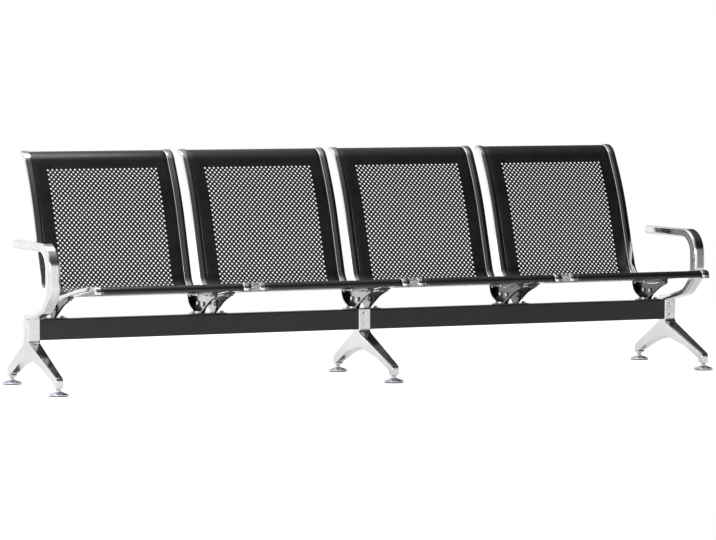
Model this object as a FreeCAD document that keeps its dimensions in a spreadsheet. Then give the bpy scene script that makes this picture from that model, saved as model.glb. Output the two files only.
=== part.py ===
import FreeCAD, Part
import math
import os
import re

import Sketcher
from FreeCAD import Placement, Rotation, Vector

# Four-place beam seating. Each place is one bent steel sheet between two chromed tube rails. Each rail
# stands on a pressed bracket, bolted to a saddle plate on one long rectangular beam. Three cast legs hold
# the beam, a cast armrest stands over each end leg, and the legs stand on screw-in levelling glides.
#
# Frame: +X to the right as seen from the front, -Y to the front, +Z up, millimetres. The origin is on the
# floor in the middle of the outline. Everything is drawn about the beam's axis first.

# Driving dimensions: alias, value in millimetres or degrees, meaning
SIZES = [
    ("seat_pitch", 578, "from one seat's centre to the next"),
    ("seat_gap", 30, "clear gap between the rails of neighbouring seats"),
    ("rail_width", 28, "face of the rail tube"),
    ("rail_depth", 14, "depth of the rail tube"),
    ("rail_wall", 2, "wall of the rail tube"),
    ("rail_corner", 3, "corner radius of the rail tube"),
    ("lip_reach", 435, "front of the seat, ahead of the beam's axis"),
    ("seat_rise", 133, "top of the seat's front edge, above the beam"),
    ("lip_drop", 27, "height of the seat's front edge"),
    ("lip_radius", 22, "roll of the seat's front edge"),
    ("thigh_length", 128, "nearly level part of the seat behind its front edge"),
    ("thigh_drop", 9, "fall of that part"),
    ("thigh_radius", 1700, "easing of the seat behind that part"),
    ("dish_reach", 18, "deepest part of the seat, ahead of the beam's axis"),
    ("dish_drop", 61.5, "deepest part of the seat below its front edge"),
    ("dish_radius", 470, "dish under the sitter"),
    ("heel_setback", 95, "corner between seat and back, behind the beam's axis"),
    ("heel_drop", 51.5, "corner between seat and back, below the front edge"),
    ("heel_radius", 70, "bend between seat and back"),
    ("back_lean", 102.5, "lean of the lower back"),
    ("back_rise", 316, "height of the lower back"),
    ("shoulder_radius", 1000, "easing between the lower and the upper back"),
    ("crown_lean", 84, "lean of the upper back"),
    ("crown_rise", 152, "height of the upper back"),
    ("crown_radius", 65, "roll of the back's top"),
    ("top_roll", 34.5, "length of the top roll, rearward"),
    ("top_rise", 6, "rise of the top roll to its end"),
    ("plug_cap", 2, "cap of the rail's end plug"),
    ("plug_stem", 5, "stem of the rail's end plug"),
    ("plug_rib", 18, "width of the plug's stem"),
    ("plug_play", 0.1, "play of the plug's stem in the rail"),
    ("sheet_wall", 1.5, "steel sheet of the seat"),
    ("sheet_inset", 2.5, "sheet below the rail's face"),
    ("sheet_flange", 10, "folded edge of the sheet, against the rail"),
    ("opening_pitch", 34, "between the sheet's openings, both ways"),
    ("opening_size", 22, "openings, which stand for about eight small round holes each"),
    ("field_side", 34, "plain sheet beside the openings"),
    ("field_front", 87, "plain sheet in front of the openings, along the seat's line"),
    ("field_top", 100, "plain sheet above the openings, along the seat's line"),
    ("sheet_screw", 4, "thread of the screws that hold the sheet"),
    ("sheet_screw_head", 8, "head of the sheet's screws"),
    ("sheet_screw_length", 6, "length of the sheet's screws under the head"),
    ("front_screw_setback", 45, "first of those screws behind the seat's front edge"),
    ("back_screw_rise", 20, "lowest of those screws in the back, above its bend"),
    ("beam_height", 70, "beam section, upright"),
    ("beam_depth", 40, "beam section, front to back"),
    ("beam_wall", 2, "wall of the beam"),
    ("beam_corner", 4, "outer corner radius of the beam"),
    ("beam_base", 165, "height of the beam's underside"),
    ("leg_outset", 56.5, "end leg's centre outside the last seat's pitch line"),
    ("leg_width", 44, "width of the leg at the beam"),
    ("ankle_width", 27, "width of the leg at the glide, both ways"),
    ("head_wall", 5, "leg's walls in front of and behind the beam"),
    ("head_base", 16, "leg under the beam, above its bolts' heads"),
    ("beam_play", 0.1, "gap between the beam and the leg's walls"),
    ("end_cover", 4, "wall of an end leg over the beam's end"),
    ("front_reach", 268, "front glide ahead of the beam's axis"),
    ("rear_reach", 207, "rear glide behind the beam's axis"),
    ("shoulder_drop", 8, "limb's root below the beam's underside"),
    ("arch_height", 103, "top of the arch between the feet"),
    ("arch_reach", 28, "top of the arch ahead of the beam's axis"),
    ("arch_radius", 90, "rounding of the arch's top"),
    ("front_waist_height", 80, "arch between its top and the front ankle"),
    ("rear_waist_height", 78, "arch between its top and the rear ankle"),
    ("limb_radius", 300, "easing of the arch's sides"),
    ("ankle_base", 26, "height of the ankle's underside"),
    ("ankle_height", 58, "height of the corner above the ankle"),
    ("front_instep_height", 38, "height of the corner inside the front ankle"),
    ("rear_instep_height", 33, "height of the corner inside the rear ankle"),
    ("knee_radius", 16, "rounding above the ankle"),
    ("taper_margin", 5, "leg's taper, from beyond its head to beyond its toes"),
    ("cast_radius", 4, "rounded edges of the legs"),
    ("arm_width", 42, "width of the armrest"),
    ("arm_rise", 263, "top of the armrest above the beam"),
    ("arm_pad", 30, "thickness of the armrest's pad"),
    ("arm_pad_flat", 1, "flat between the rounded edges of the pad's rear end"),
    ("arm_front", 241, "front of the armrest ahead of the beam's axis"),
    ("arm_rear", 141, "rear end of the armrest behind the beam's axis"),
    ("arm_upright", 43, "depth of the armrest's upright"),
    ("arm_crook_radius", 90, "outer bend between upright and pad"),
    ("arm_elbow_rise", 94, "outer corner under the upright, above the beam"),
    ("arm_elbow_step", 6, "inner corner under the upright, above the outer one"),
    ("arm_sweep_reach", 166, "corner between upright and base, ahead of the beam's axis"),
    ("arm_sweep_rise", 30, "that corner above the beam"),
    ("arm_bend_radius", 70, "bends between upright and base"),
    ("arm_neck", 20, "thickness of the armrest above its base"),
    ("arm_base_height", 13, "thickness of the armrest's base at the rear"),
    ("arm_base_setback", 34, "rear end of the armrest's base"),
    ("arm_base_radius", 4, "rounding of that end"),
    ("arm_radius", 9, "rounded edges of the armrest"),
    ("web_wall", 4, "pressed steel of the bracket"),
    ("web_inset", 6, "bracket's web inside the rail's outer face"),
    ("bracket_flange", 22, "width of the bracket's rear flange"),
    ("bracket_lip", 8, "width of the bracket's front flange and foot"),
    ("bracket_foot", 22, "flat of the bracket on its saddle"),
    ("bracket_foot_setback", 4, "middle of that flat behind the beam's axis"),
    ("bracket_toe_reach", 144, "front end of the bracket ahead of the beam's axis"),
    ("bracket_waist_reach", 87, "hollow of the bracket's front edge ahead of the beam's axis"),
    ("bracket_waist_drop", 84, "that hollow below the seat's front edge"),
    ("bracket_waist_radius", 250, "easing of that hollow"),
    ("bracket_toe_drop", 65, "bracket's front corner below the seat's front edge"),
    ("bracket_heel_setback", 90, "rear end of the bracket behind the beam's axis"),
    ("bracket_belly_setback", 76, "rear curve's corner behind the beam's axis"),
    ("bracket_belly_rise", 27, "rear curve's corner above the saddle"),
    ("bracket_belly_radius", 48, "rear curve of the bracket"),
    ("bracket_corner", 9, "corners of the bracket's outline"),
    ("smile_gap", 2, "gap between the bracket's web and the rail above it"),
    ("smile_reach", 95, "front end of that gap ahead of the beam's axis"),
    ("smile_setback", 54, "rear end of that gap behind the beam's axis"),
    ("toe_pad", 32, "length of the bracket's pad under the rail"),
    ("rail_headroom", 42, "part of the bracket's blank cut away above the rail's face"),
    ("saddle_wall", 4, "saddle plate and its lugs"),
    ("saddle_reach", 63, "half length of a saddle between two seats"),
    ("saddle_stub", 18, "length of an end saddle beyond the seat's pitch line"),
    ("lug_margin", 15, "saddle's lugs above their bolts"),
    ("lug_cheek", 22, "height of a lug at its full width"),
    ("lug_width", 74, "width of a lug at its bolts"),
    ("lug_root", 26, "width of a lug at the plate"),
    ("web_bolt_spread", 48, "between the two bolts of a bracket's web"),
    ("web_bolt_drop", 35.5, "web bolts below the deepest part of the seat"),
    ("bolt_size", 8, "thread of the bolts"),
    ("bolt_play", 1, "bolt holes over the thread"),
    ("thread_play", 0.1, "tapped holes over the thread"),
    ("bolt_flats", 13, "bolt head and nut, across the flats"),
    ("bolt_head", 5.3, "height of a bolt head"),
    ("bolt_nut", 5, "height of a bolt's nut"),
    ("bolt_thread", 10, "depth of a tapped hole"),
    ("hole_floor", 1, "free bottom of a tapped hole"),
    ("bolt_end", 1, "end of a bolt beyond its nut"),
    ("screw_end", 2, "end of a screw beyond the wall it is tapped into"),
    ("socket_room", 3, "room for a socket round a sunk bolt head"),
    ("rail_screw_length", 9, "bracket to rail screw under its head"),
    ("heel_screw_inset", 27.5, "rear rail screw ahead of the bracket's rear end"),
    ("leg_screw_rise", 15, "leg screws from the beam's edges"),
    ("saddle_screw_reach", 53, "saddle's screw from the seat's pitch line"),
    ("saddle_screw_length", 9, "saddle's screw under its head"),
    ("arm_bolt_spread", 18, "between the two bolts of an armrest"),
    ("glide_size", 68, "levelling glide's disc"),
    ("glide_rim", 4, "edge of the glide's disc"),
    ("glide_dome", 8, "rise of the disc from its edge to its hub"),
    ("glide_hub", 22, "hub on top of the disc"),
    ("glide_collar", 1.5, "straight collar of the hub"),
    ("glide_skirt", 9, "steep part of the dome, outside its hub"),
    ("glide_skirt_drop", 3, "fall of that part"),
    ("glide_dome_radius", 12, "easing of the dome"),
    ("glide_rim_radius", 1.5, "rounding of the disc's upper edge"),
    ("glide_foot_radius", 0.8, "rounding of the disc's lower edge"),
    ("glide_hub_radius", 2, "rounding at the foot of the hub"),
    ("glide_collar_radius", 1, "rounding of the hub's top"),
    ("sole_height", 3, "nylon sole under the disc"),
    ("sole_inset", 2, "sole inside the disc's edge"),
    ("stud_size", 10, "glide's threaded stud"),
    ("stud_play", 0.1, "stud's hole over the stud"),
    ("stud_top", 48, "top of the stud above the floor"),
    ("stud_room", 3, "free bore above the stud"),
    ("nut_flats", 17, "lock nut across the flats"),
    ("nut_height", 6, "height of the lock nut"),
    ("cut_over", 1, "holes and cuts beyond the face they start from"),
]

# Lengths worked out from the driving ones. Heights are above the floor.
DERIVED = {
    "beam_top": "beam_base + beam_height",
    "head_face": "beam_depth / 2 + beam_play + head_wall",
    "half_ankle": "ankle_width / 2",
    "rail_outer": "seat_pitch / 2 - seat_gap / 2",
    "rail_inner": "seat_pitch / 2 - seat_gap / 2 - rail_width",
    "arm_inside": "arm_front - arm_upright",
    "arm_top": "beam_top + arm_rise",
    "arm_elbow_height": "beam_top + arm_elbow_rise",
    "arm_sweep_height": "beam_top + arm_sweep_rise",
    "saddle_top": "beam_top + saddle_wall",
    "lip_top": "beam_top + seat_rise",
    "lip_base": "lip_top - lip_drop",
    "thigh_reach": "lip_reach - thigh_length",
    "thigh_height": "lip_top - thigh_drop",
    "dish_height": "lip_top - dish_drop",
    "heel_height": "lip_top - heel_drop",
    "shoulder_setback": "heel_setback + back_lean",
    "shoulder_height": "heel_height + back_rise",
    "crown_setback": "shoulder_setback + crown_lean",
    "crown_height": "shoulder_height + crown_rise",
    "top_setback": "crown_setback + top_roll",
    "top_height": "crown_height + top_rise",
    "bracket_toe_height": "lip_top - bracket_toe_drop",
    "bracket_waist_height": "lip_top - bracket_waist_drop",
    "bracket_belly_height": "saddle_top + bracket_belly_rise",
    "bolt_line": "dish_height - web_bolt_drop",
    "lug_top": "bolt_line + lug_margin",
}

SEATS = 4
doc = FreeCAD.newDocument("beam_seating")
sheet = doc.addObject("Spreadsheet::Sheet", "dims")
for row, (alias, number, meaning) in enumerate(SIZES, 1):
    sheet.set(f"A{row}", meaning)
    sheet.set(f"B{row}", str(number))
    sheet.setAlias(f"B{row}", alias)
doc.recompute()
aliases = {alias for alias, number, meaning in SIZES}
nodes = []


def bound(text):
    """The expression with every size's name written as a cell of the sheet."""
    def cell(match):
        name = match[0]
        if name in DERIVED:
            return "(" + bound(DERIVED[name]) + ")"
        return f"dims.{name}" if name in aliases else name
    return re.sub(r"[a-z]\w*", cell, str(text))


def value(text):
    """The expression's value now."""
    return float(sheet.evalExpression(bound(text)))


def bind(obj, **properties):
    """Ties properties of an object to expressions of the sheet's sizes."""
    for name, text in properties.items():
        obj.setExpression(name.replace("__", "."), bound(text))


def node(obj, label):
    """Puts a finished object on the list of sub-parts, under the name of its file."""
    obj.Label = label
    nodes.append(obj)
    return obj


def place(obj, x=0.0, y=0.0, z=0.0):
    obj.Placement = Placement(Vector(x, y, z), Rotation())
    return obj


def corner_points(corners):
    """Each corner as its point, its radius and the way to where its rounding starts and ends."""
    points = [Vector(value(across), value(up), 0) for across, up, radius in corners]
    radii = [value(radius) for across, up, radius in corners]
    return points, radii


def draw_outline(sketch, corners, closed=True):
    """Lines through corners (across, up, radius), each rounded by a tangent arc, all bound to the sheet."""
    points, radii = corner_points(corners)
    count = len(points)
    entries, exits, arcs = list(points), list(points), {}
    for i in range(count):
        if not radii[i]:
            continue
        before = (points[i - 1] - points[i]).normalize()
        after = (points[(i + 1) % count] - points[i]).normalize()
        half = before.getAngle(after) / 2
        reach = radii[i] / math.tan(half)
        entries[i], exits[i] = points[i] + before * reach, points[i] + after * reach
        centre = points[i] + (before + after).normalize() * (radii[i] / math.sin(half))
        left = before.cross(after).z < 0
        start, end = (entries[i], exits[i]) if left else (exits[i], entries[i])
        angles = [math.atan2(p.y - centre.y, p.x - centre.x) for p in (start, end)]
        if angles[1] < angles[0]:
            angles[1] += 2 * math.pi
        arc = Part.ArcOfCircle(Part.Circle(centre, Vector(0, 0, 1), radii[i]), *angles)
        arcs[i] = (sketch.addGeometry(arc), 1 if left else 2, 2 if left else 1)
    sides = count if closed else count - 1
    lines = [sketch.addGeometry(Part.LineSegment(exits[i], entries[(i + 1) % count])) for i in range(sides)]
    for i in range(count):
        into = lines[i - 1] if closed or i else None
        out = lines[i] if closed or i < count - 1 else None
        if i in arcs:
            arc, start, end = arcs[i]
            sketch.addConstraint(Sketcher.Constraint("Tangent", into, 2, arc, start))
            sketch.addConstraint(Sketcher.Constraint("Tangent", arc, end, out, 1))
            tie(sketch, Sketcher.Constraint("Radius", arc, radii[i]), corners[i][2])
            point = sketch.addGeometry(Part.Point(points[i]), True)
            sketch.addConstraint(Sketcher.Constraint("PointOnObject", point, 1, into))
            sketch.addConstraint(Sketcher.Constraint("PointOnObject", point, 1, out))
            vertex = (point, 1)
        elif into is None:
            vertex = (out, 1)
        else:
            vertex = (into, 2)
            if out is not None:
                sketch.addConstraint(Sketcher.Constraint("Coincident", into, 2, out, 1))
        tie(sketch, Sketcher.Constraint("DistanceX", -1, 1, *vertex, points[i].x), corners[i][0])
        tie(sketch, Sketcher.Constraint("DistanceY", -1, 1, *vertex, points[i].y), corners[i][1])


def tie(sketch, constraint, text):
    index = sketch.addConstraint(constraint)
    sketch.setExpression(f"Constraints[{index}]", bound(text))


def sketch_on(body, name, role, *outlines, closed=True, offset=None):
    """A sketch on one of the body's own planes, an offset away from it, holding the outlines."""
    plane = next(o for o in body.Origin.OriginFeatures if o.Role == role)
    sketch = body.newObject("Sketcher::SketchObject", name)
    sketch.AttachmentSupport = [(plane, "")]
    sketch.MapMode = "FlatFace"
    if offset:
        bind(sketch, AttachmentOffset__Base__z=offset)
    for corners in outlines:
        draw_outline(sketch, corners, closed)
    return sketch


def slab(name, role, corners, length):
    """A body padded both ways from an outline on one of its planes."""
    body = doc.addObject("PartDesign::Body", name)
    pad = body.newObject("PartDesign::Pad", name + "_pad")
    pad.Profile = sketch_on(body, name + "_outline", role, corners)
    pad.Midplane = True
    bind(pad, Length=length)
    return body


def rectangle(low_across, low_up, high_across, high_up, radius="0"):
    """Corners of a rectangle, anticlockwise."""
    return [(low_across, low_up, radius), (high_across, low_up, radius),
            (high_across, high_up, radius), (low_across, high_up, radius)]


def operation(kind, name, base, tool):
    """A boolean of two objects: Part::Cut or Part::Common."""
    obj = doc.addObject(kind, name)
    obj.Base, obj.Tool = base, tool
    return obj


def joined(name, shapes):
    obj = doc.addObject("Part::MultiFuse", name)
    obj.Shapes = shapes
    return obj


def group(name, members):
    obj = doc.addObject("Part::Compound", name)
    obj.Links = members
    return obj


def rod(name, diameter, length, at, axis=Vector(0, 0, 1)):
    """A cylinder from a point along an axis."""
    obj = doc.addObject("Part::Cylinder", name)
    bind(obj, Radius=f"({diameter}) / 2", Height=length)
    obj.Placement = Placement(at, Rotation(Vector(0, 0, 1), axis))
    return obj


def hexagon(name, flats, height, at, axis=Vector(0, 0, 1)):
    """A hexagonal prism from a point along an axis, its size across the flats."""
    obj = doc.addObject("Part::Prism", name)
    obj.Polygon = 6
    bind(obj, Circumradius=f"({flats}) / 2 / cos(30 deg)", Height=height)
    obj.Placement = Placement(at, Rotation(Vector(0, 0, 1), axis))
    return obj


def bolt(name, at, axis, length):
    """A hexagon bolt whose head stands on the point and whose shank runs back along the axis."""
    head = hexagon(name + "_head", "bolt_flats", "bolt_head", at, axis)
    shank = rod(name + "_shank", "bolt_size", length, at, -axis)
    return joined(name, [head, shank])


# Where the sub-parts stand
half_seats = SEATS / 2
leg_x = value(f"{half_seats} * seat_pitch + leg_outset")
leg_places = {"left": -leg_x, "center": 0.0, "right": leg_x}
seat_centres = [(i - (SEATS - 1) / 2) * value("seat_pitch") for i in range(SEATS)]
beam_top = value("beam_top")
UP, DOWN, REAR = Vector(0, 0, 1), Vector(0, 0, -1), Vector(0, 1, 0)
LEFT, RIGHT = Vector(-1, 0, 0), Vector(1, 0, 0)
TINY = 1e-6


def bolts_at(name, spots, length):
    """Equal hexagon bolts, each at a point with the way its head looks."""
    return [bolt(f"{name}_{i}", at, axis, length) for i, (at, axis) in enumerate(spots, 1)]


def drills_at(name, spots, diameter, depth):
    """Holes for those bolts, each starting a little above the point."""
    above = value("cut_over")
    return [rod(f"{name}_{i}", diameter, f"{depth} + cut_over", at + axis * above, -axis)
            for i, (at, axis) in enumerate(spots, 1)]


def leg_screw_spots():
    """Screws through the leg's front and rear walls into the beam."""
    face, low = value("head_face"), value("beam_base + leg_screw_rise")
    high = value("beam_top - leg_screw_rise")
    return [(Vector(x, side * face, z), Vector(0, side, 0))
            for x in leg_places.values() for side in (-1, 1) for z in (low, high)]


def arm_bolt_spots(x):
    """Bolts from under an end leg, through the beam, into the armrest."""
    reach, z = value("arm_bolt_spread / 2"), value("beam_base - head_base")
    return [(Vector(x, side * reach, z), DOWN) for side in (-1, 1)]


def saddle_screw_spots():
    """Screws beside the brackets, down into the beam's top."""
    reach, z = value("saddle_screw_reach"), value("saddle_top")
    stub = value("saddle_stub / 2")
    spots = []
    for i in range(SEATS + 1):
        x = (i - half_seats) * value("seat_pitch")
        left = stub if i == 0 else reach
        right = stub if i == SEATS else reach
        spots += [(Vector(x - left, 0, z), UP), (Vector(x + right, 0, z), UP)]
    return spots


# The beam: one rectangular steel tube
def make_beam():
    body = doc.addObject("PartDesign::Body", "beam_body")
    loops = [rectangle(f"-(beam_depth / 2 - {inset})", f"beam_base + {inset}",
                       f"beam_depth / 2 - {inset}", f"beam_top - {inset}", f"beam_corner - {inset}")
             for inset in ("0", "beam_wall")]
    pad = body.newObject("PartDesign::Pad", "beam_pad")
    pad.Profile = sketch_on(body, "beam_section", "YZ_Plane", *loops)
    pad.Midplane = True
    bind(pad, Length=f"2 * ({half_seats} * seat_pitch + leg_outset + leg_width / 2 - end_cover)")
    tapped, clear = "bolt_size + thread_play", "bolt_size + bolt_play"
    drills = drills_at("beam_leg_tap", leg_screw_spots(), tapped, "head_wall + beam_play + 2 * beam_wall")
    drills += drills_at("beam_saddle_tap", saddle_screw_spots(), tapped, "saddle_wall + 2 * beam_wall")
    for x in (-leg_x, leg_x):
        drills += drills_at(f"beam_arm_hole_{x:.0f}", arm_bolt_spots(x), clear,
                            "head_base + beam_height + cut_over")
    node(operation("Part::Cut", "beam", body, group("beam_drills", drills)), "beam_tube")


# The legs: castings like an inverted Y, with a head that the beam lies in
def leg_outline():
    """The leg from the side: head on top, one limb forward and one back, an ankle on each glide."""
    root = "beam_base - shoulder_drop"
    toe, heel = "front_reach + half_ankle", "rear_reach + half_ankle"
    inner_toe, inner_heel = "front_reach - half_ankle", "rear_reach - half_ankle"
    return [
        ("-head_face", "beam_top", "0"),
        ("-head_face", root, "knee_radius"),
        (f"-({toe})", "ankle_height", "knee_radius"),
        (f"-({toe})", "ankle_base", "0"),
        (f"-({inner_toe})", "ankle_base", "0"),
        (f"-({inner_toe})", "front_instep_height", "knee_radius / 2"),
        ("-(arch_reach + front_reach) / 2", "front_waist_height", "limb_radius"),
        ("-arch_reach", "arch_height", "arch_radius"),
        ("(rear_reach - arch_reach) / 2", "rear_waist_height", "limb_radius"),
        (inner_heel, "rear_instep_height", "knee_radius / 2"),
        (inner_heel, "ankle_base", "0"),
        (heel, "ankle_base", "0"),
        (heel, "ankle_height", "knee_radius"),
        ("head_face", root, "knee_radius"),
        ("head_face", "beam_top", "0"),
    ]


def leg_plan():
    """The leg from above: parallel at the beam, narrowing to the ankles."""
    toe, heel = "-(front_reach + half_ankle + taper_margin)", "rear_reach + half_ankle + taper_margin"
    wide, narrow, root = "leg_width / 2", "half_ankle", "head_face + taper_margin"
    side = [(narrow, toe, "0"), (wide, f"-({root})", "limb_radius"),
            (wide, root, "limb_radius"), (narrow, heel, "0")]
    return side + [(f"-({x})", y, r) for x, y, r in reversed(side)]


def make_legs():
    side = slab("leg_side", "YZ_Plane", leg_outline(), "leg_width + 2 * cut_over")
    plan = slab("leg_plan", "XY_Plane", leg_plan(), "2 * (beam_top + cut_over)")
    blank = operation("Part::Common", "leg_blank", side, plan)
    doc.recompute()
    casting = doc.addObject("Part::Fillet", "leg_casting")
    casting.Base = blank
    limit = value("beam_base - head_base")
    radius = value("cast_radius")
    casting.Edges = [(i, radius, radius) for i, edge in enumerate(blank.Shape.Edges, 1)
                     if rounded_leg_edge(edge, limit)]
    for name, x in leg_places.items():
        slot = doc.addObject("Part::Box", f"leg_slot_{name}")
        through, covered = "leg_width / 2 + cut_over", "leg_width / 2 - end_cover"
        low = covered if name == "left" else through
        high = covered if name == "right" else through
        bind(slot, Length=f"{low} + {high}", Width="beam_depth + 2 * beam_play",
             Height="beam_height + cut_over")
        place(slot, -value(low), -value("beam_depth / 2 + beam_play"), value("beam_base"))
        screws = [(at - Vector(x, 0, 0), axis) for at, axis in leg_screw_spots() if at.x == x]
        drills = drills_at(f"leg_hole_{name}", screws, "bolt_size + bolt_play", "head_wall + cut_over")
        for glide_y in ("-front_reach", "rear_reach"):
            at = Vector(0, value(glide_y), value("ankle_base"))
            drills += drills_at(f"leg_bore_{name}", [(at, DOWN)], "stud_size + stud_play",
                                "stud_top + stud_room - ankle_base")
        if x:
            drills += drills_at(f"leg_arm_hole_{name}", arm_bolt_spots(0), "bolt_size + bolt_play",
                                "head_base + cut_over")
            drills += [rod(f"leg_well_{name}_{i}", "bolt_flats + 2 * socket_room", "beam_base - head_base",
                           at, DOWN) for i, (at, axis) in enumerate(arm_bolt_spots(0))]
        leg = operation("Part::Cut", f"leg_{name}", casting, group(f"leg_tools_{name}", [slot] + drills))
        node(place(leg, x), f"leg_{name}")


def rounded_leg_edge(edge, limit):
    """The long edges between a leg's flanks and its limbs, below the head."""
    box = edge.BoundBox
    below_head = box.ZMax < limit and box.ZMin > value("ankle_base - cut_over")
    upright = box.YLength < TINY and box.XLength < TINY
    return below_head and box.XMin * box.XMax > 0 and not upright


# The armrests: one casting each, up from the beam's end, forward and back over as the pad
def arm_outline():
    """The armrest from the side, from its base round the outside and back along the inside."""
    return [
        ("-head_face", "beam_top", "0"),
        ("arm_base_setback", "beam_top", "0"),
        ("arm_base_setback", "beam_top + arm_base_height", "arm_base_radius"),
        ("-head_face", "beam_top + arm_neck", "arm_bend_radius / 2"),
        ("-(arm_sweep_reach - arm_neck)", "arm_sweep_height + arm_neck", "arm_bend_radius"),
        ("-arm_inside", "arm_elbow_height + arm_elbow_step", "arm_bend_radius"),
        ("-arm_inside", "arm_top - arm_pad", "arm_crook_radius - arm_pad"),
        ("arm_rear", "arm_top - arm_pad", "(arm_pad - arm_pad_flat) / 2"),
        ("arm_rear", "arm_top", "(arm_pad - arm_pad_flat) / 2"),
        ("-arm_front", "arm_top", "arm_crook_radius"),
        ("-arm_front", "arm_elbow_height", "arm_bend_radius"),
        ("-arm_sweep_reach", "arm_sweep_height", "arm_bend_radius"),
    ]


def make_arms():
    blank = slab("arm_blank", "YZ_Plane", arm_outline(), "arm_width")
    doc.recompute()
    casting = doc.addObject("Part::Fillet", "arm_casting")
    casting.Base = blank
    radius, limit = value("arm_radius"), value("beam_top + arm_base_height + cut_over")
    casting.Edges = [(i, radius, radius) for i, edge in enumerate(blank.Shape.Edges, 1)
                     if edge.BoundBox.XLength < TINY and edge.BoundBox.ZMax > limit]
    for name, x in leg_places.items():
        if x:
            taps = [(Vector(at.x, at.y, value("beam_top")), DOWN) for at, axis in arm_bolt_spots(0)]
            drills = drills_at(f"arm_tap_{name}", taps, "bolt_size + thread_play", "bolt_thread")
            arm = operation("Part::Cut", f"arm_{name}", casting, group(f"arm_drills_{name}", drills))
            node(place(arm, x), f"armrest_{name}")


# The rails: one bent rectangular tube on each side of a seat, from its front edge to the top of its back
RAIL_LINE = [
    ("-lip_reach", "lip_base", "0"),
    ("-lip_reach", "lip_top", "lip_radius"),
    ("-thigh_reach", "thigh_height", "thigh_radius"),
    ("-dish_reach", "dish_height", "dish_radius"),
    ("heel_setback", "heel_height", "heel_radius"),
    ("shoulder_setback", "shoulder_height", "shoulder_radius"),
    ("crown_setback", "crown_height", "crown_radius"),
    ("top_setback", "top_height", "0"),
]


def bent(name, *loops):
    """A body swept along the seat's line from loops drawn across it, where the line starts."""
    body = doc.addObject("PartDesign::Body", name)
    path = sketch_on(body, name + "_line", "YZ_Plane", RAIL_LINE, closed=False)
    section = sketch_on(body, name + "_section", "XY_Plane", *loops, offset="lip_base")
    sweep = body.newObject("PartDesign::AdditivePipe", name + "_sweep")
    sweep.Profile = section
    sweep.Spine = (path, [])
    return body


def layer(name, half_width, upper, lower):
    """All that lies between two depths below the rail's face."""
    return bent(name, rectangle(f"-({half_width})", f"-lip_reach + {upper}",
                                half_width, f"-lip_reach + {lower}"))


class SeatLine:
    """Points on the rail's face, with the way the line runs there."""

    def __init__(self, body):
        doc.recompute()
        self.wire = next(o for o in body.Group if o.Name.endswith("_line")).Shape
        self.front = Vector(0, value("-lip_reach"), value("lip_base"))
        self.edges = Part.sortEdges(self.wire.Edges)[0]
        if self.edges[0].distToShape(Part.Vertex(self.front))[0] > TINY:
            self.edges.reverse()
        self.length = sum(edge.Length for edge in self.edges)

    def along(self, length):
        """The point that far along the line from its front end."""
        at = self.front
        for edge in self.edges:
            ends = [edge.valueAt(edge.FirstParameter), edge.valueAt(edge.LastParameter)]
            forward = ends[0].distanceToPoint(at) < ends[1].distanceToPoint(at)
            if length <= edge.Length:
                reach = length if forward else edge.Length - length
                return self.frame(edge, edge.valueAt(edge.getParameterByLength(reach)))
            length -= edge.Length
            at = ends[1] if forward else ends[0]
        raise ValueError("the seat's line is shorter than that")

    def spot(self, across=None, up=None):
        """The point at one distance behind the beam's axis, on the seat, or at one height, on the back."""
        if up is None:
            cross = Part.makeLine(Vector(0, across, value("saddle_top")),
                                  Vector(0, across, value("lip_top + cut_over")))
        else:
            cross = Part.makeLine(Vector(0, 0, up), Vector(0, value("top_setback"), up))
        point = self.wire.distToShape(cross)[1][0][0]
        return self.frame(min(self.edges, key=lambda e: e.distToShape(Part.Vertex(point))[0]), point)

    def frame(self, edge, point):
        """The point, the way up the line there and the way down through the sheet."""
        along = edge.tangentAt(edge.Curve.parameter(point))
        if along.y + along.z < 0:
            along = -along
        return point, along, Vector(0, along.z, -along.y)


def sheet_screw_spots(line):
    """Where the seat sheet is screwed to a rail: three on the seat, three up the back."""
    low, high = value("heel_height + heel_radius + back_screw_rise"), value("shoulder_height")
    front, rear = value("-lip_reach + front_screw_setback"), value("-dish_reach")
    depth = value("sheet_inset + sheet_wall + (sheet_flange - sheet_wall) / 2")
    seat = [line.spot(across=front + (rear - front) * k / 2) for k in range(3)]
    back = [line.spot(up=low + (high - low) * k / 2) for k in range(3)]
    return [point + below * depth for point, along, below in seat + back]


def opening_spots(line):
    """Centres of the sheet's openings, in rows across it, each with the way up out of the sheet."""
    pitch = value("opening_pitch")
    length = line.length - value("field_front + field_top")
    columns, rows = int(value("2 * (rail_inner - field_side)") // pitch), int(length // pitch)
    start = value("field_front") + (length - rows * pitch) / 2
    spots = []
    for row in range(rows):
        point, along, below = line.along(start + pitch * (row + 0.5))
        spots += [(point + Vector(pitch * (column - (columns - 1) / 2), 0, 0), -below)
                  for column in range(columns)]
    return spots


def rail_screw_spots(line):
    """Where the bracket is screwed up into a rail: at its toe and at its heel, heads downward."""
    x = value("-(web_wall + bracket_lip) / 2")
    toe = value("-bracket_toe_reach + web_wall + (toe_pad - web_wall) / 2")
    heel = value("bracket_heel_setback - heel_screw_inset")
    spots = []
    for across in (toe, heel):
        point, along, below = line.spot(across=across)
        spots.append((point + below * value("rail_depth + web_wall") + Vector(x, 0, 0), below))
    return spots


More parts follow.
